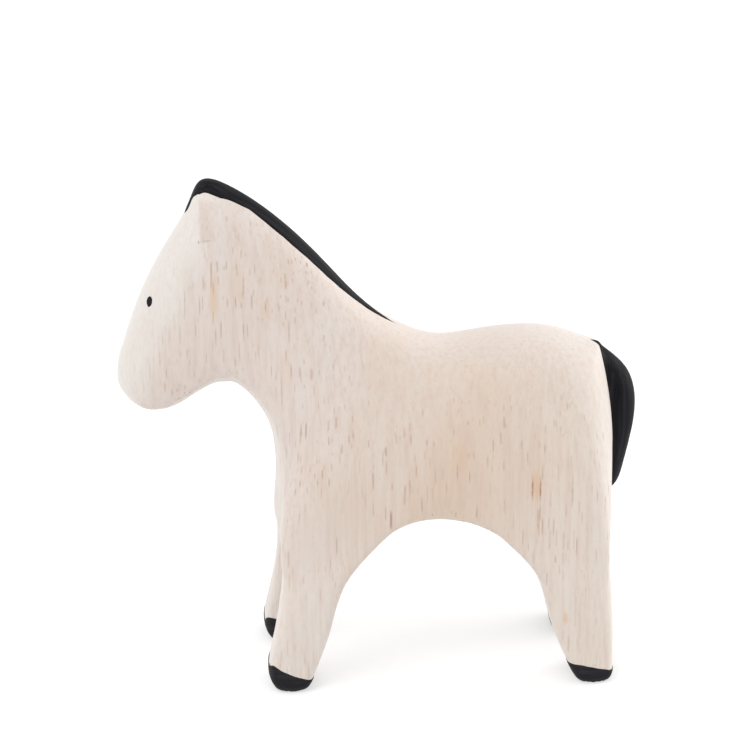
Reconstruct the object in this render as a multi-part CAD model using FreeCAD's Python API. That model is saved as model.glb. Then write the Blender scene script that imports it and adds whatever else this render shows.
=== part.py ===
"""Carved wooden horse, stained pale, with brushed black mane, tail, hooves and eyes.

The horse is one block of wood, sawn to its side outline and rounded with a knife, so its wood
is one solid: head, ears, neck, trunk, tail and four legs. Every other piece is a coat of paint
that lies on that wood. All sizes are in millimetres, +X towards the tail, +Y towards the
horse's right side, +Z up, with the painted soles on z = 0.

The skin of the wood is a smooth surface laid through rings of points. Each ring crosses the
horse from its crest line to its keel line, and each leg hangs from three such rings. The right
half mirrors the left one, but for the foot of its rear leg and the paint of its front hoof. A
coat of paint is what lies between that skin and the same skin moved outwards by the coat's
thickness.
"""
import FreeCAD, Part
import math
import os

# ---------------------------------------------------------------- driving dimensions

# Rings across the head, neck and trunk, from the muzzle back: the crest point (x, z), the keel
# point (x, z), and the half width at the crown and at the keel.
RINGS = {
    "muzzle":    ((-41.2, 58.1), (-38.3, 46.8), 5.2, 5.4),
    "bridge":    ((-38.3, 66.1), (-34.2, 46.5), 6.2, 6.6),
    "brow":      ((-34.5, 73.5), (-29.8, 48.9), 6.8, 7.4),
    "forehead":  ((-31.6, 78.3), (-26.8, 50.6), 6.4, 8.0),
    "forelock":  ((-30.2, 80.9), (-25.4, 50.9), 6.0, 8.2),
    "poll":      ((-29.1, 83.5), (-24.2, 50.9), 5.8, 8.4),
    "crown":     ((-26.4, 85.0), (-22.0, 50.0), 5.6, 8.8),
    "crest":     ((-18.9, 80.8), (-18.3, 45.1), 5.8, 9.4),
    "neck":      ((-10.2, 72.8), (-16.8, 39.0), 6.8, 10.4),
    "neck_base": ((-2.5, 64.3), (-16.7, 31.7), 8.8, 11.8),
    "shoulder":  ((4.6, 59.3), (-16.0, 24.9), 11.0, 13.2),
    "girth":     ((9.4, 57.4), (-8.0, 23.6), 11.6, 13.5),
    "rib":       ((13.4, 57.1), (1.8, 27.3), 11.8, 13.4),
    "belly":     ((18.0, 57.7), (11.6, 29.8), 12.0, 13.2),
    "flank":     ((23.0, 58.3), (20.2, 26.1), 12.2, 13.3),
    "hip":       ((29.2, 58.1), (29.6, 24.0), 11.8, 13.5),
    "rump":      ((34.4, 56.7), (38.0, 24.5), 9.6, 12.8),
}
# The two rounded ends, as points (x, z) down the middle plane, one for each row of a ring.
MUZZLE_END = ((-42.0, 56.0), (-42.5, 52.2), (-41.7, 49.5), (-40.6, 48.1), (-39.6, 47.2))
RUMP_END = ((37.6, 55.2), (39.5, 45.4), (39.3, 34.4), (38.8, 29.7), (38.7, 26.3))

# How far down a ring each of its rows lies, and its share of the half width there.
ROUND_ROWS = ((0.09, 0.72), (0.46, 1.00), (0.84, 0.88), (0.945, 0.60), (0.988, 0.30))
TRUNK_ROWS = ((0.10, 0.72), (0.50, 1.00), (0.96, 0.96))

# Legs: for each level down a leg, its height z, front x, rear x, outer y and inner y.
FRONT_LEG = (
    (18.4, -16.1, -5.4, 13.7, 4.6),
    (10.3, -17.1, -8.0, 14.0, 5.1),
    (3.8, -18.4, -10.3, 14.3, 5.3),
    (0.7, -17.7, -11.7, 14.1, 5.5),
)
REAR_LEG = (
    (18.4, 26.3, 38.7, 13.7, 4.6),
    (10.3, 28.7, 39.2, 14.0, 5.1),
    (3.8, 31.3, 39.3, 14.3, 5.3),
    (0.7, 32.9, 39.0, 14.1, 5.5),
)
# How much further forward each level of the right rear leg stands than the left one's.
RIGHT_REAR_FORWARD = (0.0, -0.3, 0.3, 1.4)
LEG_TOP_CENTRE = 9.0      # y of a leg's middle line where it leaves the trunk
LEG_TOP_INNER = 4.4       # y of a leg's inner line there: half the gap between a pair of legs
LEG_CORNER = 0.84         # how square a leg's section is: 0.71 is an ellipse, 1 a rectangle
SOLE_DIP = 2.4            # how far the rounded end of a leg would reach below the sole

# The tail's wood, from its top down: how far below the top of the rump, how far out behind the
# middle of the rump, and half width.
TAIL = (
    (1.0, -2.7, 1.3),
    (2.8, -0.4, 2.5),
    (6.0, 2.6, 3.6),
    (11.0, 3.9, 4.2),
    (17.0, 3.4, 4.1),
    (22.8, 2.2, 3.3),
    (26.5, 0.6, 1.8),
)
TAIL_ROOT = -4.5          # the tail's front line, hidden inside the rump, measured the same way

# Ears: a wedge left standing on each side of the poll, on a little ledge. Its section at the
# ledge and at its top has a front, a ridge and a rear point (x, y), measured from the poll's
# crest and half width.
EAR_DROP = 0.5            # how far below the poll's crest an ear's top lies
EAR_HEIGHT = 6.3          # from the ledge to the top
EAR_AT_LEDGE = ((-1.5, -2.4), (0.8, 0.5), (5.3, -0.5))
EAR_AT_TOP = ((0.3, -4.6), (0.9, -2.2), (4.9, -2.8))
EAR_ROOT = 1.0            # y of the wedge's hidden inner side

PAINT = 0.2               # thickness of every coat of paint
# Lower edge of the mane's paint seen from the side, from the forelock to the withers: a ring,
# and the edge's place (x, z) from that ring's crest point.
MANE_EDGE = (
    ("forehead", 0.8, 0.9),
    ("forelock", 0.4, 0.6),
    ("poll", 0.0, -0.5),
    ("poll", 1.0, 0.2),
    ("crown", -0.3, -1.4),
    ("crown", 4.5, -3.4),
    ("crest", 0.0, -1.3),
    ("neck", 0.0, -1.3),
    ("neck_base", -0.2, -0.2),
    ("shoulder", -2.0, 0.7),
)
# Height of the paint on each hoof at its front, at its middle and at its rear.
HOOF_PAINT = {
    "front_left": (4.5, 3.6, 2.2),
    "front_right": (4.2, 3.6, 2.6),
    "rear_left": (3.8, 3.3, 2.3),
    "rear_right": (3.8, 3.3, 2.3),
}
EYE_PLACE = (1.5, 0.2)    # the eye's centre (x, z) from the crest point of the bridge
EYE_HALF_WIDTH = 0.42
EYE_HALF_HEIGHT = 0.80

FIT_PASSES = 60           # corrections that bring the skin onto the points of its rings
BEYOND = 10.0             # how far a cutting shape reaches past what it cuts

# ---------------------------------------------------------------- the smooth skin


class Cage:
    """A net of four-sided meshes whose smooth limit surface passes through its points."""

    def __init__(self):
        self.points = []
        self.names = {}
        self.quads = []

    def point(self, name, xyz):
        if name not in self.names:
            self.names[name] = len(self.points)
            self.points.append(tuple(xyz))
        return self.names[name]

    def quad(self, *corners):
        """Adds a mesh of the left half, and its mirror image on the right half."""
        self.quads.append([self.names[c] for c in corners])
        mirrored = [self.names[mirror_name(c)] for c in reversed(corners)]
        if sorted(mirrored) != sorted(self.quads[-1]):
            self.quads.append(mirrored)

    def joined(self):
        """For each point: its neighbours, and the far corners of the meshes around it."""
        near = [set() for _ in self.points]
        far = [[] for _ in self.points]
        for q in self.quads:
            for i, v in enumerate(q):
                near[v].update((q[i - 1], q[(i + 1) % 4]))
                far[v].append(q[(i + 2) % 4])
        return [sorted(n) for n in near], far

    def fitted(self):
        """The control points that make the limit surface pass through self.points."""
        near, far = self.joined()
        control = [list(p) for p in self.points]
        for _ in range(FIT_PASSES):
            limits = [limit(control, v, near[v], far[v]) for v in range(len(control))]
            for v, p in enumerate(self.points):
                for k in range(3):
                    control[v][k] += p[k] - limits[v][k]
        return control

    def moved_out(self, distance):
        """A copy whose points stand that far outside this one."""
        copy = Cage()
        copy.names, copy.quads = self.names, self.quads
        normals = [[0.0, 0.0, 0.0] for _ in self.points]
        for q in self.quads:
            a, b, c, d = (self.points[v] for v in q)
            n = cross(minus(c, a), minus(d, b))
            for v in q:
                for k in range(3):
                    normals[v][k] += n[k]
        for p, n in zip(self.points, normals):
            size = math.sqrt(sum(x * x for x in n))
            copy.points.append(tuple(p[k] + distance * n[k] / size for k in range(3)))
        return copy

    def patches(self):
        """Sixteen Bezier poles for each mesh, as a 4 by 4 table."""
        control = self.fitted()
        near, _ = self.joined()
        inner = {}
        around = [[] for _ in control]
        across = {}
        for f, q in enumerate(self.quads):
            for i, v in enumerate(q):
                n = len(near[v])
                before, after, far = q[i - 1], q[(i + 1) % 4], q[(i + 2) % 4]
                inner[f, v] = [
                    (n * control[v][k] + 2 * control[before][k] + 2 * control[after][k]
                     + control[far][k]) / (n + 5)
                    for k in range(3)
                ]
                around[v].append(inner[f, v])
                across.setdefault((v, after), []).append(inner[f, v])
                across.setdefault((v, before), []).append(inner[f, v])
        tables = []
        for f, (a, b, c, d) in enumerate(self.quads):
            corner = {v: middle(around[v]) for v in (a, b, c, d)}
            edge = {(v, w): middle(across[v, w])
                    for v, w in ((a, b), (b, a), (b, c), (c, b), (c, d), (d, c), (d, a), (a, d))}
            tables.append((
                (corner[a], edge[a, b], edge[b, a], corner[b]),
                (edge[a, d], inner[f, a], inner[f, b], edge[b, c]),
                (edge[d, a], inner[f, d], inner[f, c], edge[c, b]),
                (corner[d], edge[d, c], edge[c, d], corner[c]),
            ))
        return tables

    def solid(self):
        """The closed solid inside the smooth skin."""
        faces = []
        for table in self.patches():
            patch = Part.BezierSurface()
            patch.increase(3, 3)
            for i, row in enumerate(table):
                for j, pole in enumerate(row):
                    patch.setPole(i + 1, j + 1, FreeCAD.Vector(*pole))
            faces.append(patch.toShape())
        skin = Part.Compound(faces)
        skin.sewShape()
        body = Part.Solid(skin.Shells[0])
        if body.Volume < 0:
            body.reverse()
        return body


def mirror_name(name):
    """The name of a point's mirror image. A point of the middle plane is its own."""
    side = {"left": "right", "right": "left"}
    return tuple(side.get(part, part) for part in name)


def limit(control, v, near, far):
    """Where the limit surface meets control point v."""
    n = len(near)
    return [
        (n * n * control[v][k] + 4 * sum(control[w][k] for w in near)
         + sum(control[w][k] for w in far)) / (n * (n + 5))
        for k in range(3)
    ]


def minus(p, q):
    return tuple(a - b for a, b in zip(p, q))


def cross(p, q):
    return (p[1] * q[2] - p[2] * q[1], p[2] * q[0] - p[0] * q[2], p[0] * q[1] - p[1] * q[0])


def middle(points):
    return [sum(p[k] for p in points) / len(points) for k in range(3)]


def between(a, b, share):
    return tuple(p + share * (q - p) for p, q in zip(a, b))


# ---------------------------------------------------------------- rings and legs

# The rows of a ring's left half, between its crest and its keel. On the trunk the edge row is
# the outer side of the legs, and the last two rows cross the belly.
ROWS = ("upper_row", "side_row", "edge_row", "middle_row", "inner_row")
TRUNK_RINGS = ("shoulder", "girth", "rib", "belly", "flank", "hip", "rump")
LEG_TOPS = {"front": ("shoulder", "girth", "rib"), "rear": ("flank", "hip", "rump")}


def add_pair(cage, name, x, y, z, forward=0.0):
    """A point of the left half and its mirror image, which may stand further forward."""
    cage.point(name + ("left",), (x, -y, z))
    cage.point(name + ("right",), (x - forward, y, z))


def add_ring(cage, ring):
    """The points of one ring."""
    crest, keel, crown_width, keel_width = RINGS[ring]
    cage.point((ring, "crest"), (crest[0], 0, crest[1]))
    cage.point((ring, "keel"), (keel[0], 0, keel[1]))
    for row, (down, share) in zip(ROWS, TRUNK_ROWS if ring in TRUNK_RINGS else ROUND_ROWS):
        x, z = between(crest, keel, down)
        add_pair(cage, (ring, row), x, share * (crown_width + down * (keel_width - crown_width)), z)
    if ring in TRUNK_RINGS:
        add_pair(cage, (ring, "inner_row"), keel[0], LEG_TOP_INNER, keel[1])
        if ring not in [top[1] for top in LEG_TOPS.values()]:
            add_pair(cage, (ring, "middle_row"), keel[0], LEG_TOP_CENTRE, keel[1])


def left(ring, row):
    return (ring, row) if row in ("crest", "keel") else (ring, row, "left")


def add_trunk(cage):
    """The rings and the meshes between them, with a hole left where each leg begins."""
    order = list(RINGS)
    for ring in order:
        add_ring(cage, ring)
    rows = ("crest",) + ROWS + ("keel",)
    for a, b in zip(order, order[1:]):
        over_leg = any(a in top[:2] and b in top[1:] for top in LEG_TOPS.values())
        for upper, lower in zip(rows, rows[1:]):
            if over_leg and (upper, lower) in zip(ROWS[2:], ROWS[3:]):
                continue
            cage.quad(left(a, upper), left(a, lower), left(b, lower), left(b, upper))


def add_end(cage, ring, end, outwards):
    """Closes the first or the last ring with points down the middle plane."""
    for row, (x, z) in zip(ROWS, end):
        cage.point((ring, "end", row), (x, 0, z))
    loops = [[(ring, "crest"), (ring, ROWS[0], "right"), (ring, "end", ROWS[0]),
              (ring, ROWS[0], "left")]]
    for upper, lower in zip(ROWS, ROWS[1:]):
        loops.append([(ring, "end", upper), (ring, "end", lower), (ring, lower, "left"),
                      (ring, upper, "left")])
    loops.append([(ring, "end", ROWS[-1]), (ring, ROWS[-1], "right"), (ring, "keel"),
                  (ring, ROWS[-1], "left")])
    for loop in loops:
        cage.quad(*(loop if outwards < 0 else reversed(loop)))


def leg_loop(ring_a, ring_m, ring_b):
    """The eight points of the trunk that a leg hangs from."""
    edge, centre, inner = ROWS[2:]
    return [(ring_a, edge, "left"), (ring_m, edge, "left"), (ring_b, edge, "left"),
            (ring_b, centre, "left"), (ring_b, inner, "left"), (ring_m, inner, "left"),
            (ring_a, inner, "left"), (ring_a, centre, "left")]


def add_leg(cage, leg, levels, forward):
    """A leg's levels below the trunk, and its rounded end."""
    upper = leg_loop(*LEG_TOPS[leg])
    for n, (z, front, rear, outer, inner) in enumerate(levels):
        x, half_x = (front + rear) / 2, (rear - front) / 2
        y, half_y = (outer + inner) / 2, (outer - inner) / 2
        along = (-LEG_CORNER, 0, LEG_CORNER, 1, LEG_CORNER, 0, -LEG_CORNER, -1)
        aside = (LEG_CORNER, 1, LEG_CORNER, 0, -LEG_CORNER, -1, -LEG_CORNER, 0)
        lower = [(leg, n, i, "left") for i in range(8)]
        for i in range(8):
            place = (x + along[i] * half_x, y + aside[i] * half_y, z)
            add_pair(cage, (leg, n, i), *place, forward[n])
        for i in range(8):
            j = (i + 1) % 8
            cage.quad(upper[i], lower[i], lower[j], upper[j])
        upper = lower
    add_pair(cage, (leg, "end"), x, y, -SOLE_DIP, forward[-1])
    for i in (1, 3, 5, 7):
        cage.quad((leg, "end", "left"), upper[i], upper[i - 1], upper[i - 2])


def horse_cage():
    cage = Cage()
    add_trunk(cage)
    add_end(cage, "muzzle", MUZZLE_END, -1)
    add_end(cage, "rump", RUMP_END, 1)
    add_leg(cage, "front", FRONT_LEG, [0.0] * len(FRONT_LEG))
    add_leg(cage, "rear", REAR_LEG, RIGHT_REAR_FORWARD)
    return cage


def tail_cage():
    cage = Cage()
    top, behind = RINGS["rump"][0][1], RUMP_END[1][0]
    upper = None
    for n, (below, out, half) in enumerate(TAIL):
        z, rear, root = top - below, behind + out, behind + TAIL_ROOT
        cage.point((n, "root"), (root, 0, z))
        cage.point((n, "rear"), (rear, 0, z))
        add_pair(cage, (n, "side"), (rear + root) / 2, half, z)
        lower = [(n, "root"), (n, "side", "left"), (n, "rear"), (n, "side", "right")]
        if upper:
            cage.quad(upper[0], lower[0], lower[1], upper[1])
            cage.quad(upper[1], lower[1], lower[2], upper[2])
        else:
            cage.quad(*reversed(lower))
        upper = lower
    cage.quad(*upper)
    return cage


# ---------------------------------------------------------------- ears, paint and export


def ear_wedge(side):
    """An ear. side is -1 for the left one and 1 for the right one."""
    (poll_x, poll_z), _, poll_half, _ = RINGS["poll"]
    ends = []
    top = poll_z - EAR_DROP
    for z, section in ((top - EAR_HEIGHT, EAR_AT_LEDGE), (top, EAR_AT_TOP)):
        outline = [(poll_x + x, poll_half + y) for x, y in section]
        outline += [(outline[2][0], EAR_ROOT), (outline[0][0], EAR_ROOT), outline[0]]
        ends.append(Part.makePolygon([FreeCAD.Vector(x, side * y, z) for x, y in outline]))
    return Part.makeLoft(ends, True, True)


def side_zone(edge, level, y_near, y_far):
    """All between a curve seen from the side and a level line, from y_near to y_far."""
    points = [FreeCAD.Vector(x, y_near, z) for x, z in edge]
    curve = Part.BSplineCurve()
    curve.interpolate(points)
    corners = [FreeCAD.Vector(p.x, y_near, level) for p in (points[-1], points[0])]
    straight = Part.makePolygon([points[-1]] + corners + [points[0]])
    face = Part.Face(Part.Wire([curve.toShape()] + straight.Edges))
    return face.extrude(FreeCAD.Vector(0, y_far - y_near, 0))


def mane_zone():
    edge = [(RINGS[ring][0][0] + dx, RINGS[ring][0][1] + dz) for ring, dx, dz in MANE_EDGE]
    top = max(crest[1] for crest, _, _, _ in RINGS.values()) + BEYOND
    return side_zone(edge, top, -widest() - BEYOND, widest() + BEYOND)


def hoof_zone(levels, heights, side):
    """The painted end of a leg. side is -1 for a left leg and 1 for a right one."""
    front = min(level[1] for level in levels[-2:])
    rear = max(level[2] for level in levels[-2:])
    places = (front - BEYOND / 3, front, (front + rear) / 2, rear, rear + BEYOND / 3)
    edge = list(zip(places, (heights[0],) + heights + (heights[2],)))
    return side_zone(edge, -BEYOND, 0, side * (widest() + BEYOND))


def eye_zone(side):
    x, z = (RINGS["bridge"][0][k] + EYE_PLACE[k] for k in range(2))
    oval = Part.Ellipse(
        FreeCAD.Vector(x, 0, z + EYE_HALF_HEIGHT),
        FreeCAD.Vector(x + EYE_HALF_WIDTH, 0, z),
        FreeCAD.Vector(x, 0, z),
    )
    face = Part.Face(Part.Wire([oval.toShape()]))
    return face.extrude(FreeCAD.Vector(0, side * (widest() + BEYOND), 0))


def widest():
    """The largest half width of the horse."""
    return max([ring[3] for ring in RINGS.values()] + [level[3] for level in FRONT_LEG + REAR_LEG])


def above(z):
    """A block over everything above height z, wider than any horse cut from one plank."""
    reach = 10 * BEYOND
    return Part.makeBox(2 * reach, 2 * reach, 2 * reach, FreeCAD.Vector(-reach, -reach, z))


def one_solid(shape):
    """The largest solid of a cut's result."""
    return max(shape.Solids, key=lambda solid: solid.Volume)


def build():
    """Every node's solid, by name, before the horse is centred."""
    wood = horse_cage().solid().fuse([tail_cage().solid(), ear_wedge(-1), ear_wedge(1)])
    wood = one_solid(wood.common(above(PAINT)))
    coated = horse_cage().moved_out(PAINT).solid().common(above(0))
    zones = {"mane_paint": mane_zone()}
    for side, sign in (("left", -1), ("right", 1)):
        for end, levels in (("front", FRONT_LEG), ("rear", REAR_LEG)):
            hoof = "%s_%s" % (end, side)
            zones[hoof + "_hoof_paint"] = hoof_zone(levels, HOOF_PAINT[hoof], sign)
        zones["%s_eye_paint" % side] = eye_zone(sign)
    nodes = {"carved_body": wood}
    for name, zone in zones.items():
        nodes[name] = one_solid(coated.common(zone).cut(wood))
    nodes["tail_paint"] = one_solid(tail_cage().moved_out(PAINT).solid().cut(wood))
    return nodes


if __name__ == "__main__":
    os.makedirs("parts", exist_ok=True)
    nodes = build()
    box = Part.Compound(list(nodes.values())).optimalBoundingBox()
    centring = FreeCAD.Vector(-(box.XMin + box.XMax) / 2, 0, 0)
    print("moved by", round(centring.x, 3), "in x")
    for name, shape in nodes.items():
        shape.translate(centring)
        shape.exportStep("parts/%s.step" % name)
        print(name, "valid" if shape.isValid() else "NOT VALID", "volume", round(shape.Volume, 2))
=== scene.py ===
# %% [markdown]
# # A carved wooden horse, dressed
# The real horse is one block of pale wood, sawn to its side outline, rounded with a knife,
# sanded and rubbed with a thin whitewash. A brush then adds a black mane, tail, hooves and eyes.
# The CAD frame holds those same pieces at their real size. Here each one gets a finer mesh and a
# finish, and nothing is moved or resized. Every size below is in millimetres times `MM`.

# %% Load the frame
import math

import bmesh
import bpy
import numpy as np
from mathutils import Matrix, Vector, noise
from mathutils.bvhtree import BVHTree
from mathutils.kdtree import KDTree


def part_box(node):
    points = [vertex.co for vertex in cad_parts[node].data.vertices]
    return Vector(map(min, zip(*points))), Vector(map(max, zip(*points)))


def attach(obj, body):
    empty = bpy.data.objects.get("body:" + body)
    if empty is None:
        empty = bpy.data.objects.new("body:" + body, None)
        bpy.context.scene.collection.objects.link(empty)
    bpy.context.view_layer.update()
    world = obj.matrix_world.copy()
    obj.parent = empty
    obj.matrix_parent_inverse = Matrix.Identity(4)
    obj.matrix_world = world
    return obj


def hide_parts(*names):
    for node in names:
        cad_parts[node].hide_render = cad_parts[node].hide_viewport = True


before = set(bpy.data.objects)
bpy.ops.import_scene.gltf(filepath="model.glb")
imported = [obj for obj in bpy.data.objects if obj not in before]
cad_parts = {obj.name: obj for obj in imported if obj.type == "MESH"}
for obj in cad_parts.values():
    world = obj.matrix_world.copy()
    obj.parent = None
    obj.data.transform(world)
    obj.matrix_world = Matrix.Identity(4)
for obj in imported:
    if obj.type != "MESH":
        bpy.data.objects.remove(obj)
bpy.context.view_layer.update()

MM = 0.001

# %% [markdown]
# ## The wood's skin
# A CAD surface arrives as loose flat triangles, up to 2 mm long, that carry the true normals of
# the curved surface. Shading them directly would look right from afar, but a knife cut or a
# paint edge needs an even net of small faces. Three ways are open: subdivide the triangles,
# which keeps their slivers; retopologise by hand; or lay a voxel grid over the solid. The grid
# is even everywhere and closed by construction, so it is the one used.

# %% Read a CAD node as plain arrays
WELD = 0.001 * MM         # corners closer than this are one corner


def cad_arrays(node):
    """A CAD node's welded corner points, its triangles and the true normal at each corner."""
    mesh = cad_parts[node].data
    points = np.array([v.co for v in mesh.vertices])
    triangles = np.array([p.vertices[:] for p in mesh.polygons])
    normals = np.array([n.vector for n in mesh.corner_normals]).reshape(-1, 3, 3)
    _, first, place = np.unique(
        np.round(points / WELD), axis=0, return_index=True, return_inverse=True)
    return points[first], place.reshape(-1)[triangles], normals


wood_points, wood_triangles, wood_normals = cad_arrays("carved_body")
print("welded wood:", len(wood_points), "points,", len(wood_triangles), "triangles")

# %% Make objects from arrays, and plain meshes from modifiers


def new_object(name, points, faces):
    mesh = bpy.data.meshes.new(name)
    mesh.from_pydata([tuple(p) for p in points], [], [tuple(f) for f in faces])
    mesh.update()
    made = bpy.data.objects.new(name, mesh)
    bpy.context.scene.collection.objects.link(made)
    return made


def baked(piece):
    """Turns what the modifiers show into the piece's own plain mesh, and removes them."""
    seen = piece.evaluated_get(bpy.context.evaluated_depsgraph_get())
    mesh = bpy.data.meshes.new_from_object(seen)
    piece.modifiers.clear()
    old, piece.data = piece.data, mesh
    bpy.data.meshes.remove(old)
    mesh.name = piece.name
    return piece


# %% Lay an even net over the wood
NET_CELL = 0.45 * MM      # side of one face of the net
RELAX_PASSES = 4          # evens out the stairs that a grid leaves on slopes

wood = new_object("carved_wood", wood_points, wood_triangles)
grid = wood.modifiers.new("grid", "REMESH")
grid.mode = "VOXEL"
grid.voxel_size = NET_CELL
relax = wood.modifiers.new("relax", "SMOOTH")
relax.factor = 0.5
relax.iterations = RELAX_PASSES
baked(wood)
print("net over the wood:", len(wood.data.polygons), "faces")

# %% [markdown]
# ## Back onto the true surface
# A grid cuts corners, so every point of the net is drawn back to the solid. The nearest spot on a
# flat triangle would leave the triangles' edges to be seen as facets. The corner normals say how
# the surface bulges between corners: each spot is leant onto the three corners' tangent planes,
# and half of that lean is the bulge of a circle's arc. The ears are small and crisp, so their
# faces are split once more first.

# %% Split the faces round the ears
EAR_LENGTH = 9.0 * MM     # how far back from the forelock the finer faces reach
EAR_DROP = 1.2 * EAR_LENGTH    # and how far down from the crown
EAR_INNER_SHARE = 0.4     # they start this share of the mane's half width from the middle


def split_faces(piece, wanted):
    """Splits in four each face whose centre the function wants."""
    net = bmesh.new()
    net.from_mesh(piece.data)
    edges = {e for f in net.faces if wanted(f.calc_center_median()) for e in f.edges}
    bmesh.ops.subdivide_edges(net, edges=list(edges), cuts=1, use_grid_fill=True)
    net.to_mesh(piece.data)
    net.free()


mane_low, mane_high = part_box("mane_paint")


def near_an_ear(place):
    return (place.x < mane_low.x + EAR_LENGTH and place.z > mane_high.z - EAR_DROP
            and abs(place.y) > EAR_INNER_SHARE * mane_high.y)


split_faces(wood, near_an_ear)
print("with the ears' faces split:", len(wood.data.polygons), "faces")

# %% Draw the net to the curved surface
ARC_SHARE = 0.5           # share of the lean that gives a circle's arc between two corners


def onto_curve(points, corners, triangles, normals):
    """Each point moved to the curved surface that the corner normals describe."""
    tree = BVHTree.FromPolygons([tuple(c) for c in corners], triangles.tolist())
    hits = [tree.find_nearest(p) for p in points]
    foot = np.array([hit[0] for hit in hits])
    face = np.array([hit[2] for hit in hits])
    tip, up = corners[triangles[face]], normals[face]
    sides = np.roll(tip, -1, axis=1) - tip
    whole = np.cross(sides[:, 0], -sides[:, 2])
    size = np.maximum((whole * whole).sum(1), 1e-30)
    share = np.empty(foot.shape)
    for k in range(3):
        part = np.cross(sides[:, (k + 1) % 3], foot - tip[:, (k + 1) % 3])
        share[:, k] = (part * whole).sum(1) / size
    lean = ((foot[:, None] - tip) * up).sum(2)
    return foot - ARC_SHARE * (share[:, :, None] * lean[:, :, None] * up).sum(1)


def points_of(mesh):
    flat = np.empty(3 * len(mesh.vertices))
    mesh.vertices.foreach_get("co", flat)
    return flat.reshape(-1, 3)


def set_points(mesh, points):
    mesh.vertices.foreach_set("co", points.ravel())
    mesh.update()


net_points = points_of(wood.data)
true_points = onto_curve(net_points, wood_points, wood_triangles, wood_normals)
set_points(wood.data, true_points)
drift = np.linalg.norm(true_points - net_points, axis=1)
print("moved onto the surface by", round(drift.max() / MM, 3), "mm at most")

# %% [markdown]
# ## Node trees written as sums
# Both the carving and the finishes are node trees. Clicking or coding each Math node by hand
# hides the idea, so one small class stands for a socket: adding, multiplying or dividing two of
# them builds the node. Every other node comes from `Tree.node`, which sets the node's own
# settings first and then fills or links its sockets.

# %% A socket that can be used in a sum


class Wire:
    """An output socket. Arithmetic on it adds Math nodes to its tree."""

    def __init__(self, tree, socket):
        self.tree, self.socket = tree, socket

    def other(self, output):
        """Another output of the same node."""
        return Wire(self.tree, self.socket.node.outputs[output])

    def maths(self, operation, *values):
        return self.tree.node("ShaderNodeMath", {"operation": operation},
                              dict(enumerate(values)))

    def __add__(self, value):
        return self.maths("ADD", self, value)

    def __sub__(self, value):
        return self.maths("SUBTRACT", self, value)

    def __rsub__(self, value):
        return self.maths("SUBTRACT", value, self)

    def __mul__(self, value):
        return self.maths("MULTIPLY", self, value)

    def __truediv__(self, value):
        return self.maths("DIVIDE", self, value)

    def __rtruediv__(self, value):
        return self.maths("DIVIDE", value, self)

    __radd__ = __add__
    __rmul__ = __mul__

    def vector(self, operation, *values):
        """This vector and others through Vector Math."""
        return self.tree.node("ShaderNodeVectorMath", {"operation": operation},
                              dict(enumerate((self,) + values)))

    def dot(self, value):
        return self.vector("DOT_PRODUCT", value).other("Value")

    def rise(self, low, high):
        """0 below low and 1 above high, with a smooth step between. low may be the larger."""
        return self.tree.node("ShaderNodeMapRange", {"interpolation_type": "SMOOTHSTEP"},
                              {"Value": self, "From Min": low, "From Max": high})


class Tree:
    """A node tree that grows by one method."""

    def __init__(self, nodes):
        self.nodes = nodes

    def node(self, kind, settings=None, inputs=None, output=0):
        made = self.nodes.nodes.new(kind)
        for name, value in (settings or {}).items():
            setattr(made, name, value)
        for key, value in (inputs or {}).items():
            if isinstance(value, Wire):
                self.nodes.links.new(value.socket, made.inputs[key])
            else:
                made.inputs[key].default_value = value
        return Wire(self, made.outputs[output] if made.outputs else None)

    def mix(self, share, first, second):
        """The first colour at share 0 and the second at share 1."""
        return self.node("ShaderNodeMix", {"data_type": "RGBA"}, {0: share, 6: first, 7: second},
                         output=2)


# %% [markdown]
# ## What a knife leaves
# The block is rounded with a knife and then sanded, so its surface is a quilt of shallow, softened
# flats, felt more than seen. Modelling each flat by hand would take hours and a bump
# texture would not show on the outline. A Geometry Nodes tree follows the surface instead: it
# scatters points, cuts a plane a little below the skin at each one, and blurs the result, as
# sandpaper does. The cuts only ever go inwards.

# %% A tree with named inputs


def geometry_tree(name, inputs):
    """A Geometry Nodes tree, its growing end and a wire for each named input."""
    group = bpy.data.node_groups.new(name, "GeometryNodeTree")
    group.is_modifier = True
    tree = Tree(group)
    group.interface.new_socket("Geometry", in_out="INPUT", socket_type="NodeSocketGeometry")
    for label, kind in inputs.items():
        group.interface.new_socket(label, in_out="INPUT", socket_type="NodeSocket" + kind)
    group.interface.new_socket("Geometry", in_out="OUTPUT", socket_type="NodeSocketGeometry")
    start = tree.node("NodeGroupInput")
    return tree, start, {label: start.other(label) for label in inputs}


def end_tree(tree, shape, material):
    """Ends a tree as the export needs it: real faces, smooth, with a material."""
    smooth = tree.node("GeometryNodeSetShadeSmooth", None, {"Geometry": shape})
    real = tree.node("GeometryNodeRealizeInstances", None, {"Geometry": smooth})
    painted = tree.node("GeometryNodeSetMaterial", None, {"Geometry": real, "Material": material})
    tree.node("NodeGroupOutput", None, {"Geometry": painted})
    return tree.nodes


def run_tree(piece, group, values):
    """Runs a tree on a piece with these values for its named inputs, and keeps the result."""
    modifier = piece.modifiers.new(group.name, "NODES")
    modifier.node_group = group
    for socket in group.interface.items_tree:
        if socket.in_out == "INPUT" and socket.name in values:
            modifier[socket.identifier] = values[socket.name]
    return baked(piece)


# %% The knife's tree


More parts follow.
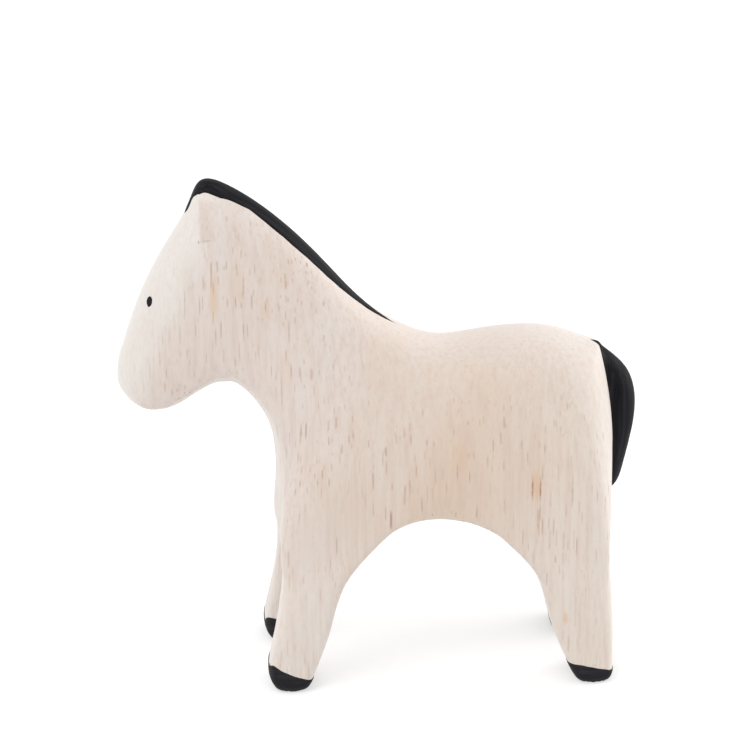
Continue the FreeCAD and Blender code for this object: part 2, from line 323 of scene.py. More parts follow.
def knife_tree():
    tree, start, given = geometry_tree("knife_and_sandpaper", {
        "Flat size": "Float", "Cut depth": "Float", "Sanding passes": "Int", "Seed": "Int",
        "Wood": "Material"})
    flats = tree.node(
        "GeometryNodeDistributePointsOnFaces", {"distribute_method": "POISSON"},
        {"Mesh": start, "Distance Min": given["Flat size"], "Density Max": 1e6,
         "Seed": given["Seed"]})
    here = tree.node("GeometryNodeInputPosition")
    nearest = tree.node("GeometryNodeSampleNearest", None, {"Geometry": flats})

    def of_flat(value):
        return tree.node("GeometryNodeSampleIndex", {"data_type": "FLOAT_VECTOR"},
                         {"Geometry": flats, "Value": value, "Index": nearest})

    middle, facing = of_flat(here), of_flat(flats.other("Normal"))
    depth = given["Cut depth"] * tree.node(
        "FunctionNodeRandomValue", {"data_type": "FLOAT"},
        {2: 0.4, 3: 1.0, "ID": nearest, "Seed": given["Seed"]}, output=1)
    above = here.vector("SUBTRACT", middle).dot(facing) + depth
    same_side = facing.dot(tree.node("GeometryNodeInputNormal")).rise(0.6, 0.95)
    cut = above.maths("MAXIMUM", above, 0.0).maths("MINIMUM", depth) * same_side
    push = facing.vector("SCALE")
    tree.nodes.links.new((cut * -1.0).socket, push.socket.node.inputs["Scale"])
    sanded = tree.node("GeometryNodeBlurAttribute", {"data_type": "FLOAT_VECTOR"},
                       {"Value": push, "Iterations": given["Sanding passes"]})
    moved = tree.node("GeometryNodeSetPosition", None, {"Geometry": start, "Offset": sanded})
    return end_tree(tree, moved, given["Wood"])


# %% [markdown]
# ## The finish of the wood
# The wood is pale and close grained. Its fibres run up the horse, so long vessels show as thin
# brown or peach lines on the upright sides and as small dots where the knife cut across them, on
# the back, the chin and the arch. A painted picture of lines would have to be wrapped by hand.
# A solid pattern needs no wrapping: stretched cells fill the whole block, and the surface simply
# cuts through them, just as it does in wood. Two things change it from place to place: end grain
# on the back soaks up more whitewash, and its paler tone is partly painted light from above; and the
# face is the chalkiest part, with few vessels, which is partly a painted highlight from the key
# light.

# %% Colours and scales of the wood


def from_screen(red, green, blue):
    """A colour picked on a screen, 0 to 255, as the light it stands for."""
    def linear(value):
        share = value / 255
        return share / 12.92 if share <= 0.04045 else ((share + 0.055) / 1.055) ** 2.4
    return linear(red), linear(green), linear(blue), 1.0


FACE_PLANE = 59.6 * MM    # the face's slope passes this far in front of the origin
CREAM = from_screen(204, 195, 189)
WARM = from_screen(199, 178, 158)
CHALK_AND_LIGHT = from_screen(210, 206, 201)
ROSY_GRAIN_AND_SHADE = from_screen(189, 164, 150)
VESSEL_BROWN = from_screen(134, 100, 78)
VESSEL_PEACH = from_screen(180, 144, 116)
SAP_AND_SHADE_BROWN = from_screen(134, 88, 54)
SAP_GLOW = from_screen(200, 158, 112)


def grain_space(tree, across, along):
    """Object coordinates counted in cells: one every `across` sideways and `along` upwards."""
    place = tree.node("ShaderNodeTexCoord").other("Object")
    return tree.node("ShaderNodeMapping", None,
                     {"Vector": place, "Scale": (1 / across, 1 / across, 1 / along)})


def cloud(tree, across, along, detail=2.0, seed=0.0):
    """Soft noise from 0 to 1, with that grain."""
    return tree.node("ShaderNodeTexNoise", {"noise_dimensions": "4D"},
                     {"Vector": grain_space(tree, across, along), "W": seed, "Scale": 1.0,
                      "Detail": detail, "Roughness": 0.55})


def vessels(tree, across, along, width, share, bend):
    """Vessels of one kind: how dark each spot is, and a number of its own for each vessel."""
    cells = tree.node("ShaderNodeTexVoronoi", {"feature": "F1", "distance": "CHEBYCHEV"},
                      {"Vector": grain_space(tree, across, along).vector("ADD", bend),
                       "Scale": 1.0, "Randomness": 1.0})
    chance = tree.node("ShaderNodeSeparateColor", None, {"Color": cells.other("Color")})
    own, pick = chance, chance.other("Green")
    reach = width / across / 2 * (0.6 + 0.8 * own)
    line = (cells / reach).rise(1.0, 0.4)
    return line * pick.rise(1.0 - share, 1.02 - share), chance.other("Blue")


# %% [markdown]
# ## Marks that belong to this horse
# Most of the figure can be left to chance, but some marks are this block's own: a pair of dark
# streaks over the arch, amber ones down the cheek, a few stains on the legs, and painted shadow
# under the ledge that the knife left under the ear. A texture that happened to match would take many
# tries. A short list of places is clearer, and each mark is a soft ellipse on one side only. The
# ear's rear face is painted pinker, as painted shade where it turns from the light, so its ridge
# reads.

# %% Streaks of sap, and painted shadow under the ear's ledge, placed one by one
# Seen from the left side: x, middle height, half width, half length, all in millimetres, and
# how strong the streak is.
STREAKS_OF_SAP_AND_LEDGE_SHADE = (
    (24.5, 35.1, 0.25, 2.9, 0.95), (25.8, 35.0, 0.25, 2.9, 1.00), (31.1, 35.6, 0.20, 5.0, 0.35),
    (12.1, 38.5, 0.20, 2.4, 0.50), (14.1, 37.6, 0.20, 1.6, 0.50), (10.3, 35.7, 0.16, 1.7, 0.40),
    (-31.7, 67.1, 0.17, 3.4, 0.40), (-29.3, 66.1, 0.17, 2.4, 0.50), (-26.8, 60.9, 0.17, 2.3, 0.50),
    (-22.2, 69.3, 0.18, 2.7, 0.50), (-22.3, 61.9, 0.17, 2.6, 0.55), (-18.7, 65.6, 0.17, 1.3, 0.45),
    (-15.0, 61.6, 0.24, 2.7, 0.40), (-16.3, 51.5, 0.20, 4.4, 0.40), (-14.7, 55.2, 0.20, 1.8, 0.45),
    # The last two streaks are no sap: they are painted shadow under the ledge below the ear.
    (-29.25, 76.4, 0.15, 0.45, 0.95), (-27.9, 76.75, 1.1, 0.14, 0.45))
SAP_GLOWS = (
    (25.1, 35.6, 1.4, 4.2, 0.80), (-27.0, 67.4, 0.90, 5.8, 0.70), (-23.4, 68.6, 1.8, 3.6, 0.25),
    (30.3, 12.1, 0.60, 1.7, 0.85), (35.5, 11.4, 0.35, 1.0, 0.75), (12.8, 41.0, 2.6, 4.6, 0.30),
    (-15.6, 55.0, 1.6, 6.0, 0.25), (-18.4, 65.2, 1.6, 2.6, 0.30))


def sap_and_shade(tree, place, streaks, soft):
    """How strongly a list of streaks marks the wood: stains of sap, and painted shadow under the
    ear's ledge.
    """
    mark = 0.0
    for x, z, half_width, half_length, strength in streaks:
        off = place.vector("SUBTRACT", (x * MM, 0.0, z * MM))
        off = off.vector("MULTIPLY", (1 / (half_width * MM), 0.0, 1 / (half_length * MM)))
        streak = off.vector("LENGTH").other("Value").rise(1.0, soft) * strength
        mark = streak.maths("MAXIMUM", streak, mark)
    return mark * place.dot((0.0, -1.0, 0.0)).rise(0.0, 1.0 * MM)


# %% Painted shade behind an ear's ridge
EAR_RIDGE = -29.1 * MM
EAR_FOOT, EAR_TIP = 76.8 * MM, 83.6 * MM
RIDGE_STEP = (-0.10 * MM, 0.15 * MM)     # the painted shade starts this sharply at the ridge
RIDGE_FADE = (3.4 * MM, 0.5 * MM)        # and is gone this far behind it
FOOT_STEP, TIP_FADE = 0.3 * MM, 1.5 * MM


def painted_ear_shade(tree, place):
    """How strongly the ear's rear face is painted in shade, from 0 to 1: strongest right behind the
    ridge.
    """
    behind = place.dot((1.0, 0.0, 0.0)) - EAR_RIDGE
    height = place.dot((0.0, 0.0, 1.0))
    face = behind.rise(*RIDGE_STEP) * behind.rise(*RIDGE_FADE)
    inside = (height.rise(EAR_FOOT, EAR_FOOT + FOOT_STEP)
              * height.rise(EAR_TIP, EAR_TIP - TIP_FADE))
    return face * inside


# %% The wood's material
BACK_HEIGHT = (42 * MM, 54 * MM)         # between these heights the vessels grow faint,
BACK_START = (-16 * MM, -2 * MM)         # but only behind the withers
LEG_HEIGHT = (34 * MM, 8 * MM)           # the wood grows paler and calmer down the legs,
RUMP_LIGHT_START = (14 * MM, 40 * MM)          # and is painted paler towards the rump, as painted light from the right


def whitewashed_wood():
    material = bpy.data.materials.new("whitewashed_wood")
    material.use_nodes = True
    material.node_tree.nodes.clear()
    tree = Tree(material.node_tree)
    place = tree.node("ShaderNodeTexCoord").other("Object")
    sway = cloud(tree, 9 * MM, 40 * MM, seed=3.0)
    bend = tree.node("ShaderNodeCombineXYZ", None, {"X": 1.6 * sway, "Y": 1.1 * sway})
    patches = cloud(tree, 9 * MM, 22 * MM, seed=8.0)
    stripes = cloud(tree, 0.9 * MM, 30 * MM, detail=3.0, seed=1.0)
    fibres = cloud(tree, 0.30 * MM, 5 * MM, detail=3.0, seed=5.0)
    mottle = cloud(tree, 0.7 * MM, 1.4 * MM, detail=3.0, seed=6.0)
    crowd = cloud(tree, 5 * MM, 12 * MM, seed=12.0).rise(0.36, 0.58)
    fine_line, fine_tone = vessels(tree, 0.55 * MM, 6 * MM, 0.28 * MM, 0.80, bend)
    long_line, long_tone = vessels(tree, 1.1 * MM, 10 * MM, 0.36 * MM, 0.60, bend)
    # On the face the colour goes chalky and the vessels fade: chalkier wood, and partly a painted
    # highlight from the key light.
    past_face = place.dot((0.92, 0.0, -0.39)) + FACE_PLANE
    away_from_lit_face = past_face.rise(1.5 * MM, 6.5 * MM)
    height = place.dot((0.0, 0.0, 1.0))
    back = height.rise(*BACK_HEIGHT) * place.dot((1.0, 0.0, 0.0)).rise(*BACK_START)
    low = height.rise(*LEG_HEIGHT)
    calm = back.maths("MAXIMUM", back, low * 0.65)
    fine = fine_line * (0.40 + 0.60 * crowd) * (0.15 + 0.85 * away_from_lit_face) * (1.0 - 0.6 * calm)
    long = long_line * (0.10 + 0.90 * crowd) * away_from_lit_face * (1.0 - 0.7 * calm)
    end_grain_and_top_light = tree.node("ShaderNodeAttribute", {"attribute_name": "end_grain_and_top_light"}, output="Fac")

    heart = place.dot((1.0, 0.0, -0.35)).rise(-34 * MM, 4 * MM)
    colour = tree.mix(heart * 0.62 + patches.rise(0.35, 0.70) * 0.30, CREAM, WARM)
    # Surfaces facing up go towards cream: paler end grain, and with it painted light from above.
    colour = tree.mix(end_grain_and_top_light * 0.6, colour, CREAM)
    # Painted light: towards the rump the colour goes towards chalk, for the light from the right
    # that rims it.
    rear = place.dot((1.0, 0.0, 0.0)).rise(*RUMP_LIGHT_START)
    colour = tree.mix(low * 0.55 + rear * (1.0 - low) * 0.60, colour, CHALK_AND_LIGHT)
    # Towards chalk on the face: partly a painted highlight.
    colour = tree.mix((1.0 - away_from_lit_face) * 0.75, colour, CHALK_AND_LIGHT)
    # Painted shade: the ear's rear face, turned away from the key light, goes towards rosy.
    colour = tree.mix(painted_ear_shade(tree, place) * 0.42, colour, ROSY_GRAIN_AND_SHADE)
    colour = tree.mix(stripes.rise(0.40, 0.72) * 0.34 * (0.3 + 0.7 * away_from_lit_face), colour, ROSY_GRAIN_AND_SHADE)
    colour = tree.mix(fibres.rise(0.40, 0.80) * 0.24 + mottle.rise(0.45, 0.75) * 0.20, colour, ROSY_GRAIN_AND_SHADE)
    colour = tree.mix(sap_and_shade(tree, place, SAP_GLOWS, 0.1) * 0.55, colour, SAP_GLOW)
    fine_colour = tree.mix(fine_tone, VESSEL_BROWN, VESSEL_PEACH)
    long_colour = tree.mix(long_tone, VESSEL_BROWN, VESSEL_PEACH)
    colour = tree.mix(fine * 0.40, colour, fine_colour)
    colour = tree.mix(long * 0.60, colour, long_colour)
    ragged = cloud(tree, 0.25 * MM, 0.6 * MM, seed=9.0).rise(0.30, 0.55)
    # Dark streaks of sap, and the painted shadow under the ear's ledge.
    sap_and_ledge_shade = sap_and_shade(tree, place, STREAKS_OF_SAP_AND_LEDGE_SHADE, 0.2) * (0.45 + 0.55 * ragged)
    colour = tree.mix(sap_and_ledge_shade * 0.75, colour, SAP_AND_SHADE_BROWN)

    depth = fibres * 0.006 - fine * 0.020 - long * 0.030
    relief = tree.node("ShaderNodeBump", None,
                       {"Strength": 0.6, "Distance": 1.0 * MM, "Height": depth})
    shine = tree.node("ShaderNodeBsdfPrincipled", None, {
        "Base Color": colour, "Roughness": 0.48 + 0.16 * fibres + 0.12 * fine,
        "Normal": relief, "Specular IOR Level": 0.45, "Sheen Weight": 0.35,
        "Sheen Roughness": 0.5})
    tree.node("ShaderNodeOutputMaterial", None, {"Surface": shine})
    return material


wood_finish = whitewashed_wood()
run_tree(wood, knife_tree(), {
    "Flat size": 6.5 * MM, "Cut depth": 0.07 * MM, "Sanding passes": 6, "Seed": 4,
    "Wood": wood_finish})
end_grain_and_top_light = wood.data.attributes.new("end_grain_and_top_light", "FLOAT", "POINT")
end_grain_and_top_light.data.foreach_set("value", [n.vector.z ** 2 for n in wood.data.vertex_normals])
print("carved wood:", sum(len(p.vertices) - 2 for p in wood.data.polygons), "triangles")

# %% [markdown]
# ## Coats of paint
# A brushed coat is a film that starts thin at its edge and thickens over a fraction of a
# millimetre, and its edge wavers with the hand. Colouring the wood's own faces would be quicker,
# but the edge could only follow the net and would have no thickness. So each coat is a closed
# shell of its own: the wood's faces are copied and made finer, cut exactly along the coat's edge,
# raised outside, and sunk a hair into the wood inside.

# %% Copy a patch of the wood, finer


def patch_of(piece, low, high, levels):
    """A smooth, finer copy of the faces between two corners: points, triangles, normals."""
    net = bmesh.new()
    net.from_mesh(piece.data)
    away = [f for f in net.faces
            if any(not low[k] < f.calc_center_median()[k] < high[k] for k in range(3))]
    bmesh.ops.delete(net, geom=away, context="FACES")
    mesh = bpy.data.meshes.new("patch")
    net.to_mesh(mesh)
    net.free()
    patch = bpy.data.objects.new("patch", mesh)
    bpy.context.scene.collection.objects.link(patch)
    finer = patch.modifiers.new("finer", "SUBSURF")
    finer.levels = finer.render_levels = levels
    patch.modifiers.new("triangles", "TRIANGULATE")
    mesh = baked(patch).data
    points = points_of(mesh)
    triangles = np.array([p.vertices[:] for p in mesh.polygons])
    normals = np.array([n.vector for n in mesh.vertex_normals])
    bpy.data.objects.remove(patch)
    return points, triangles, normals


# %% Cut a patch along an edge


def cut_along(points, normals, triangles, inside):
    """The part of a patch where inside is above 0, cut exactly where it is 0."""
    points, normals = list(points), list(normals)
    cuts, faces = {}, []

    def crossing(a, b):
        pair = (min(a, b), max(a, b))
        if pair not in cuts:
            share = inside[a] / (inside[a] - inside[b])
            cuts[pair] = len(points)
            points.append(points[a] + share * (points[b] - points[a]))
            normals.append(normals[a] + share * (normals[b] - normals[a]))
        return cuts[pair]

    for triangle in triangles.tolist():
        ring = []
        for a, b in zip(triangle, triangle[1:] + triangle[:1]):
            if inside[a] > 0:
                ring.append(a)
            if (inside[a] > 0) != (inside[b] > 0):
                ring.append(crossing(a, b))
        if ring:
            faces.append(ring)
    return np.array(points), np.array(normals), faces


# %% Tidy the cut and keep its largest island
SLIVER = 0.035 * MM       # edges shorter than this are closed up


def tidy_patch(points, normals, faces):
    """Closes slivers and drops stray islands: points, normals, faces and rim edges."""
    net = bmesh.new()
    layer = net.verts.layers.float_vector.new("normal")
    made = []
    for p, n in zip(points, normals):
        vertex = net.verts.new(p)
        vertex[layer] = n
        made.append(vertex)
    for face in faces:
        net.faces.new([made[v] for v in face])
    bmesh.ops.remove_doubles(net, verts=net.verts, dist=SLIVER)
    bmesh.ops.triangulate(net, faces=net.faces)
    islands, seen = [], set()
    for first in net.faces:
        if first in seen:
            continue
        seen.add(first)
        island = [first]
        for face in island:
            for near in {f for e in face.edges for f in e.link_faces} - seen:
                seen.add(near)
                island.append(near)
        islands.append(island)
    islands.sort(key=len)
    stray = [f for island in islands[:-1] for f in island]
    bmesh.ops.delete(net, geom=stray, context="FACES")
    loose = [v for v in net.verts if not v.link_faces]
    bmesh.ops.delete(net, geom=loose, context="VERTS")
    net.verts.index_update()
    points = np.array([v.co for v in net.verts])
    normals = np.array([v[layer].normalized() for v in net.verts])
    faces = [[v.index for v in f.verts] for f in net.faces]
    rim = [(c.vert.index, c.link_loop_next.vert.index)
           for f in net.faces for c in f.loops if len(c.edge.link_faces) == 1]
    net.free()
    return points, normals, faces, rim


# %% Make a coat
RIM_THICKNESS = 0.03 * MM
SUNK = 0.05 * MM          # how far a coat's hidden side lies in the wood
SOLE_BAND = 0.06 * MM     # wood this close to its own sole is painted down to the floor
sole_height = wood_points[:, 2].min()


def swell(share):
    """0 to 1 with a round start and end."""
    share = np.clip(share, 0, 1)
    return share * share * (3 - 2 * share)


def shell_of(points, normals, faces, rim, thickness, ramp):
    """The closed shell of a coat, and how fully each of its points is on the outer side."""
    edge = KDTree(len(rim))
    for i, (a, _) in enumerate(rim):
        edge.insert(points[a], i)
    edge.balance()
    from_rim = np.array([edge.find(p)[2] for p in points])
    full = swell(from_rim / ramp)
    height = RIM_THICKNESS + (thickness - RIM_THICKNESS) * full
    outer = points + height[:, None] * normals
    sole = points[:, 2] < sole_height + SOLE_BAND
    outer[sole, 2] = 0.0
    outer[:, 2] = np.maximum(outer[:, 2], 0.0)
    inner = points - SUNK * normals
    count = len(points)
    shell = [tuple(f) for f in faces]
    shell += [tuple(v + count for v in reversed(f)) for f in faces]
    shell += [(b, a, a + count, b + count) for a, b in rim]
    weight = np.where(sole, 0.0, full)
    return np.vstack((outer, inner)), shell, np.concatenate((weight, np.zeros(count)))


def coat(name, node, inside, levels, thickness, ramp, margin=1.0 * MM):
    """A coat that stands for a CAD coat. inside(points) is above 0 where the wood is painted."""
    low, high = (Vector(corner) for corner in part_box(node))
    reach = Vector((margin, margin, margin))
    points, triangles, normals = patch_of(wood, low - reach, high + reach, levels)
    points, normals, faces = cut_along(points, normals, triangles, inside(points))
    points, normals, faces, rim = tidy_patch(points, normals, faces)
    points, shell, weight = shell_of(points, normals, faces, rim, thickness, ramp)
    piece = new_object(name, points, shell)
    attribute = piece.data.attributes.new("brushed", "FLOAT", "POINT")
    attribute.data.foreach_set("value", weight.astype(np.float32))
    print(name, len(shell), "faces, rim of", len(rim), "edges")
    return piece


# %% [markdown]
# ## Where the brush went
# Each coat has one rule for its edge. The mane is one stroke down the middle of the crest, so its
# rule is a half width for each place along it: a line seen from the side would be uncertain on
# top, where the crest is flat. The hooves do follow a line seen from the side. The eye is a touch
# of a round brush, and the tail is painted up to the crease where it leaves the rump, with a
# pointed first touch on the rump's top. A little noise makes each line waver, as a hand does.

# %% Lines seen from the side, and a wavering hand
STEPS = 8                 # straight steps between two points of a smooth line


def smooth_line(points):
    """A smooth line through points (x, z), as many short steps."""
    points = np.array(points, float)
    ends = np.vstack((2 * points[0] - points[1], points, 2 * points[-1] - points[-2]))
    line = []
    for a, b, c, d in zip(ends, ends[1:], ends[2:], ends[3:]):
        for t in np.arange(STEPS) / STEPS:
            line.append(0.5 * (2 * b + (c - a) * t + (2 * a - 5 * b + 4 * c - d) * t * t
                               + (3 * b - a - 3 * c + d) * t ** 3))
    return np.array(line + [points[-1]])


def above_line(points, line):
    """How far each point lies above a line that runs towards the tail, seen from the side."""
    place = points[:, (0, 2)]
    best = np.full(len(place), np.inf)
    side = np.ones(len(place))
    for a, b in zip(line, line[1:]):
        along, off = b - a, place - a
        t = np.clip(off @ along / (along @ along), 0, 1)
        apart = np.linalg.norm(off - t[:, None] * along, axis=1)
        turn = along[0] * off[:, 1] - along[1] * off[:, 0]
        side = np.where(apart < best, np.sign(turn), side)
        best = np.minimum(best, apart)
    return best * side


def waver(points, seed, length, amount):
    """A smooth random offset for each point, the same on every run."""
    return np.array([amount * noise.noise(Vector(p / length) + Vector((seed, seed, seed)))
                     for p in points])


# %% The mane
# The brush runs down the middle of the crest, from a point on the forehead to a point behind
# the withers: how far behind the front of the mane, and the half width of the stroke there.
MANE_STROKE = ((0.0, 0.0), (0.3, 0.75), (0.5, 1.05), (0.85, 1.2), (1.2, 1.1), (1.5, 1.4),
               (1.85, 2.05), (2.5, 2.8), (4.1, 3.15), (5.7, 3.25), (7.3, 3.1), (8.9, 2.95),
               (10.4, 2.85), (12.0, 3.0), (15.2, 3.3), (18.4, 3.35), (21.6, 3.25), (24.9, 2.8),
               (28.2, 1.7), (31.6, 0.75), (33.4, 0.25), (34.3, 0.0))


def in_mane(points):
    behind = (points[:, 0] - mane_low.x) / MM
    half_width = np.interp(behind, *zip(*MANE_STROKE)) * MM
    return half_width - np.abs(points[:, 1]) + waver(points, 2.0, 2.2 * MM, 0.10 * MM)


mane = coat("mane_coat", "mane_paint", in_mane, 1, 0.13 * MM, 0.35 * MM)

# %% The tail
TAIL_OVER = 0.28 * MM     # how far past the crease the brush touches the rump
# The first touch on the rump's top: x from the tail's front, and half width.
TAIL_TIP = ((-1.2, 0.0), (-0.6, 0.45), (0.2, 1.0))
TIP_WIDEST = 0.8 * MM     # half width that the tip has at most
TIP_TAPER = 1.6           # and the length, front to back, that takes 1 off it
TIP_DEPTH = 1.0 * MM      # only this close to the tail's top
tail_points, tail_triangles, _ = cad_arrays("tail_paint")
tail_tree = BVHTree.FromPolygons([tuple(p) for p in tail_points], tail_triangles.tolist())
tail_low, tail_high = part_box("tail_paint")


def in_tail(points):
    apart = np.array([tail_tree.find_nearest(p)[3] for p in points])
    over = TAIL_OVER + waver(points, 5.0, 1.5 * MM, 0.05 * MM) - apart
    behind = (points[:, 0] - tail_low.x) / MM
    tip = np.interp(behind, *zip(*TAIL_TIP)) * MM - np.abs(points[:, 1])
    tip = np.minimum(tip, TIP_WIDEST - np.abs(behind) * MM / TIP_TAPER)
    tip = np.where(points[:, 2] > tail_high.z - TIP_DEPTH, tip, -1.0)
    return np.maximum(over, tip)


tail = coat("tail_coat", "tail_paint", in_tail, 1, 0.15 * MM, 0.45 * MM, margin=2.0 * MM)

# %% The hooves
# Height of a hoof's paint, from its front to its rear: share of the hoof's length, and height.
HOOF_EDGE = {
    ("front", "left"): ((-0.3, 2.4), (0.0, 2.9), (0.05, 4.1), (0.12, 4.7), (0.27, 4.1), (0.44, 3.45),
                        (0.60, 2.95), (0.77, 2.45), (0.90, 2.15), (1.3, 1.9)),
    ("front", "right"): ((-0.3, 2.5), (0.0, 2.9), (0.06, 4.0), (0.14, 4.5), (0.3, 4.4), (0.5, 3.8),
                         (0.8, 2.8), (1.3, 2.6)),
    ("rear", "left"): ((-0.3, 2.4), (0.0, 2.8), (0.08, 3.5), (0.18, 3.6), (0.31, 3.5), (0.47, 3.2),
                       (0.63, 2.9), (0.79, 2.5), (0.93, 2.1), (1.3, 1.95)),
    ("rear", "right"): ((-0.3, 3.7), (0.0, 3.6), (0.3, 3.5), (0.6, 3.0), (0.9, 2.3), (1.3, 2.1)),
}


def hoof_coat(end, side, seed):
    node = f"{end}_{side}_hoof_paint"
    low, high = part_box(node)
    line = smooth_line([(low.x + share * (high.x - low.x), z * MM)
                        for share, z in HOOF_EDGE[end, side]])

    def in_hoof(points):
        return waver(points, seed, 1.6 * MM, 0.10 * MM) - above_line(points, line)

    return coat(f"{end}_{side}_hoof_coat", node, in_hoof, 1, 0.14 * MM, 0.30 * MM)


hooves = {}
for seed, (end, side) in enumerate(HOOF_EDGE):
    hooves[end, side] = hoof_coat(end, side, 10.0 + 3 * seed)

# %% The eyes
EYE_LEAN = 0.22           # how far the dot's top lies behind its foot, for each unit of height


def eye_coat(side, seed):
    node = f"{side}_eye_paint"
    low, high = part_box(node)
    centre, half = (low + high) / 2, (high - low) / 2

    def in_eye(points):
        up = (points[:, 2] - centre.z) / half.z
        across = (points[:, 0] - centre.x - EYE_LEAN * half.z * up) / half.x
        return half.x * (1 - np.hypot(across, up)) + waver(points, seed, 0.6 * MM, 0.05 * MM)

    return coat(f"{side}_eye_dot", node, in_eye, 3, 0.12 * MM, 0.30 * MM)


eyes = {side: eye_coat(side, seed) for side, seed in (("left", 31.0), ("right", 37.0))}

# %% [markdown]
# ## Brush marks
# A stiff brush leaves low ridges along its stroke: down the neck on the mane, downwards on the
# tail, round the leg on a hoof. They are real relief on the coat's outer side, so a second
# Geometry Nodes tree makes them, with the stroke's direction and the ridges' width and height as
# its inputs.

# %% The brush's tree


def brush_tree():
    tree, start, given = geometry_tree("brush_marks", {
        "Stroke": "Vector", "Ridge width": "Float", "Ridge height": "Float", "Seed": "Float",
        "Paint": "Material"})
    here = tree.node("GeometryNodeInputPosition")
    along = here.dot(given["Stroke"]) * 0.93
    back = given["Stroke"].vector("SCALE")
    tree.nodes.links.new(along.socket, back.socket.node.inputs["Scale"])
    place = here.vector("SUBTRACT", back)
    ridges = tree.node("ShaderNodeTexNoise", {"noise_dimensions": "4D"},
                       {"Vector": place, "W": given["Seed"], "Detail": 2.0,
                        "Scale": 1.0 / given["Ridge width"]})
    outer = tree.node("GeometryNodeInputNamedAttribute", {"data_type": "FLOAT"},
                      {"Name": "brushed"})
    height = (ridges - 0.5) * given["Ridge height"] * outer
    push = tree.node("GeometryNodeInputNormal").vector("SCALE")
    tree.nodes.links.new(height.socket, push.socket.node.inputs["Scale"])
    moved = tree.node("GeometryNodeSetPosition", None, {"Geometry": start, "Offset": push})
    return end_tree(tree, moved, given["Paint"])


brush_marks = brush_tree()

# %% [markdown]
# ## The finish of the paint
# The paint is a matt black with a low sheen. It is thin enough for bristle streaks and a trace of
# the wood's grain to show as small changes of tone and gloss. A flat black would hide the form,
# so the tone, the roughness and a fine relief all follow the same streaks. The hooves rub on the
# table, so their black is the most worn.

# %% The paint's material
PAINT_DARK = from_screen(17, 17, 20)
PAINT_WORN = from_screen(52, 51, 54)


def brushed_black(name, turn, across, along, seed, wear=0.0):
    """Black paint whose streaks run along its own x axis after a turn about y."""
    material = bpy.data.materials.new(name)
    material.use_nodes = True
    material.node_tree.nodes.clear()
    tree = Tree(material.node_tree)
    place = tree.node("ShaderNodeTexCoord").other("Object")
    turned = tree.node("ShaderNodeMapping", {"vector_type": "POINT"},
                       {"Vector": place, "Rotation": (0, turn, 0)})
    scaled = turned.vector("MULTIPLY", (1 / along, 1 / across, 1 / across))

    def streaks(scale, detail, shift):
        return tree.node("ShaderNodeTexNoise", {"noise_dimensions": "4D"},
                         {"Vector": scaled, "W": seed + shift, "Scale": scale, "Detail": detail,
                          "Roughness": 0.6})

    broad, bristles = streaks(0.45, 2.0, 0.0), streaks(1.6, 3.0, 4.0)
    tone = broad.rise(0.42, 0.70) * 0.35 + bristles.rise(0.50, 0.80) * 0.25 + wear
    relief = tree.node("ShaderNodeBump", None,
                       {"Strength": 0.5, "Distance": 1.0 * MM,
                        "Height": bristles * 0.018 + broad * 0.02})
    shine = tree.node("ShaderNodeBsdfPrincipled", None, {
        "Base Color": tree.mix(tone, PAINT_DARK, PAINT_WORN),
        "Roughness": 0.46 + 0.22 * bristles, "Normal": relief, "Specular IOR Level": 0.05})
    tree.node("ShaderNodeOutputMaterial", None, {"Surface": shine})
    return material


# %% Brush each coat
NECK_SLOPE = math.atan2(26.0, 31.0)      # the crest falls this steeply from crown to withers
neck_stroke = (math.cos(NECK_SLOPE), 0.0, -math.sin(NECK_SLOPE))
mane_black = brushed_black("mane_black", -NECK_SLOPE, 0.5 * MM, 9 * MM, 1.0)
tail_black = brushed_black("tail_black", math.pi / 2, 0.6 * MM, 10 * MM, 2.0)
hoof_black = brushed_black("hoof_black", 0.0, 0.5 * MM, 4 * MM, 3.0, wear=0.35)


def brush(piece, stroke, width, height, seed, paint):
    run_tree(piece, brush_marks, {"Stroke": stroke, "Ridge width": width, "Ridge height": height,
                                  "Seed": seed, "Paint": paint})


brush(mane, neck_stroke, 0.55 * MM, 0.05 * MM, 1.0, mane_black)
brush(tail, (0.0, 0.0, 1.0), 0.7 * MM, 0.06 * MM, 2.0, tail_black)
for seed, hoof in enumerate(hooves.values()):
    brush(hoof, (1.0, 0.0, 0.0), 0.6 * MM, 0.05 * MM, 3.0 + seed, hoof_black)
for seed, eye in enumerate(eyes.values()):
    brush(eye, (0.0, 0.0, 1.0), 0.4 * MM, 0.03 * MM, 9.0 + seed, hoof_black)

# %% [markdown]
# ## Fasten everything to the frame
# Each piece rides on the one body, and the CAD node it stands for is hidden.

# %% Ride on the body and hide the CAD node


def dress(piece, node):
    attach(piece, "root")
    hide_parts(node)


dress(wood, "carved_body")
dress(mane, "mane_paint")
dress(tail, "tail_paint")
for (end, side), hoof in hooves.items():
    dress(hoof, f"{end}_{side}_hoof_paint")
for side, eye in eyes.items():
    dress(eye, f"{side}_eye_paint")

# %% [markdown]
# ## Studio
# A toy is shown best on a plain pale floor in soft light from all round, with a little more from
# the upper left so that the planes of the carving read, and some from the right that rims the
# rump. A white world does most of it, and two broad lamps give the direction. White wood on a
# white floor loses its edge under a dark shadow, so the floor is a light table: it glows a
# little, which keeps only a faint shadow near the feet.

# %% Floor, light and world
FLOOR_SIZE = 4.0
FLOOR_TONE = 0.50
FLOOR_GLOW = 0.52


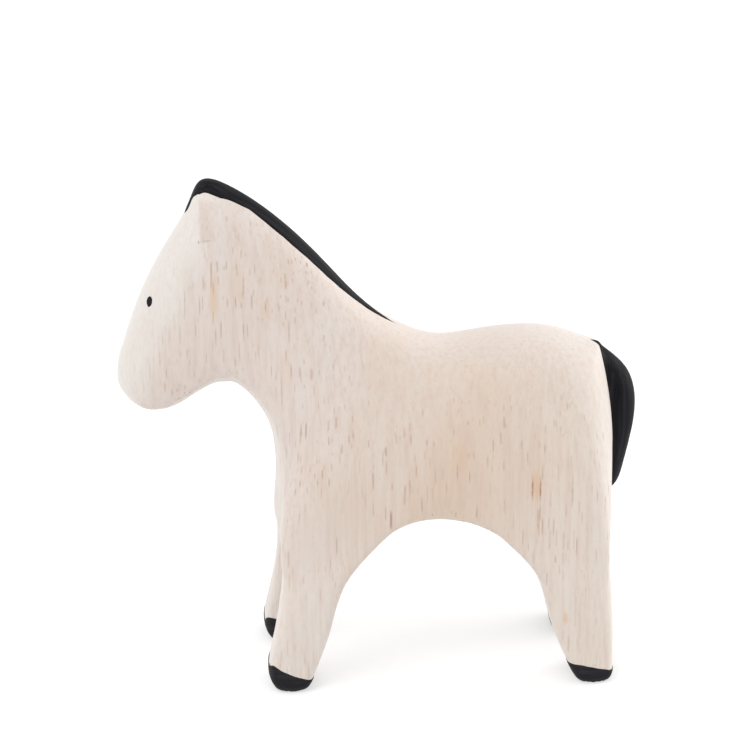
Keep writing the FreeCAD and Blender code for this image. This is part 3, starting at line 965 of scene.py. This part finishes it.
def floor_material():
    material = bpy.data.materials.new("pale_floor")
    material.use_nodes = True
    shader = material.node_tree.nodes["Principled BSDF"]
    shader.inputs["Base Color"].default_value = (FLOOR_TONE, FLOOR_TONE, FLOOR_TONE, 1.0)
    shader.inputs["Roughness"].default_value = 0.9
    shader.inputs["Specular IOR Level"].default_value = 0.1
    shader.inputs["Emission Color"].default_value = (1.0, 1.0, 1.0, 1.0)
    shader.inputs["Emission Strength"].default_value = FLOOR_GLOW
    return material


half_floor = FLOOR_SIZE / 2
floor = new_object("floor", [(-half_floor, -half_floor, 0), (half_floor, -half_floor, 0),
                             (half_floor, half_floor, 0), (-half_floor, half_floor, 0)],
                   [(0, 1, 2, 3)])
floor.data.materials.append(floor_material())

scene = bpy.context.scene
scene.view_settings.view_transform = "Standard"
world = bpy.data.worlds.new("studio")
world.use_nodes = True
world.node_tree.nodes["Background"].inputs["Color"].default_value = (1.0, 1.0, 1.0, 1.0)
world.node_tree.nodes["Background"].inputs["Strength"].default_value = 1.0
scene.world = world


def softbox(name, place, aim, size, watts):
    lamp = bpy.data.lights.new(name, "AREA")
    lamp.shape, lamp.size, lamp.energy = "DISK", size, watts
    made = bpy.data.objects.new(name, lamp)
    made.location = place
    made.rotation_euler = (aim - Vector(place)).to_track_quat("-Z", "Y").to_euler()
    scene.collection.objects.link(made)


aim = Vector((-0.5 * MM, 0.0, 50.9 * MM))
softbox("key", (-0.45, -0.35, 0.80), aim, 0.6, 3.0)
softbox("right_rim", (0.70, 0.20, 0.25), aim, 0.6, 3.0)

# %% Camera
VIEW_AZIMUTH = math.radians(-4.0)
VIEW_ELEVATION = math.radians(20.5)
VIEW_DISTANCE = 0.510
lens = bpy.data.cameras.new("camera")
lens.sensor_width = 36.0
lens.lens = 147.9
lens.clip_start = 0.01
camera = bpy.data.objects.new("camera", lens)
back = Vector((math.sin(VIEW_AZIMUTH) * math.cos(VIEW_ELEVATION),
               -math.cos(VIEW_AZIMUTH) * math.cos(VIEW_ELEVATION), math.sin(VIEW_ELEVATION)))
camera.location = aim + VIEW_DISTANCE * back
camera.rotation_euler = (-back).to_track_quat("-Z", "Y").to_euler()
scene.collection.objects.link(camera)
scene.camera = camera
